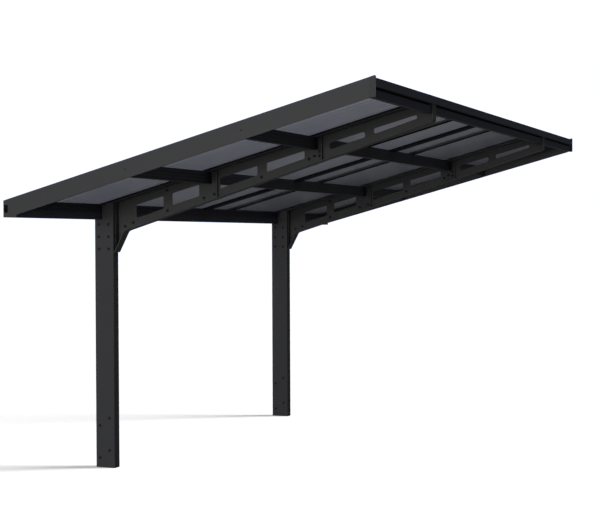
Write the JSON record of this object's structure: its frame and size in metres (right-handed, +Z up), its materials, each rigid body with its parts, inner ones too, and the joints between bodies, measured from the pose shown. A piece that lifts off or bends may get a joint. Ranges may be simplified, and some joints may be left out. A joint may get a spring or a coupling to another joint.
{
  "type": "cantilever carport",
  "caption": "Cantilever carport: rear posts carry tapered slotted arms, purlins, a rear gutter beam, a front beam and a sloping roof of smoked twin-wall sheets.",
  "frame": {"origin": "middle of the foot face of the left post, at ground level", "axes": "+X along the rear gutter beam from the left post to the right post, -Y out along the arms to the roof's front edge, +Z up"},
  "size_m": [6, 2.9, 2.9075],
  "materials": {
    "frame_black": "fine satin powder coat",
    "edge_black": "fine satin powder coat",
    "section_black": "fine satin powder coat",
    "smoked_sheet": "translucent smoked twin-wall polycarbonate",
    "end_cap_plastic": "moulded, fine texture",
    "anchor_steel": "galvanised"
  },
  "bodies": {
    "root": {"centre_rafter": "section_black", "front_beam_left": "edge_black", "front_beam_middle": "edge_black", "front_beam_right": "edge_black", "front_left_end_cap": "end_cap_plastic", "front_right_end_cap": "end_cap_plastic", "front_trim": "edge_black", "left_anchor_shoe": "anchor_steel", "left_arm_glazing_bar": "section_black", "left_arm_middle": "frame_black", "left_arm_root": "frame_black", "left_arm_tip": "frame_black", "left_fascia": "edge_black", "left_post": "frame_black", "left_roof_sheet": "smoked_sheet", "lower_purlin_left": "section_black", "lower_purlin_middle": "section_black", "lower_purlin_right": "section_black", "middle_left_glazing_bar": "section_black", "middle_left_roof_sheet": "smoked_sheet", "middle_right_glazing_bar": "section_black", "middle_right_roof_sheet": "smoked_sheet", "middle_roof_sheet": "smoked_sheet", "rear_gutter_left": "edge_black", "rear_gutter_middle": "edge_black", "rear_gutter_right": "edge_black", "right_anchor_shoe": "anchor_steel", "right_arm_glazing_bar": "section_black", "right_arm_middle": "frame_black", "right_arm_root": "frame_black", "right_arm_tip": "frame_black", "right_fascia": "edge_black", "right_post": "frame_black", "right_roof_sheet": "smoked_sheet", "upper_purlin_left": "section_black", "upper_purlin_middle": "section_black", "upper_purlin_right": "section_black"}
  },
  "joints": []
}
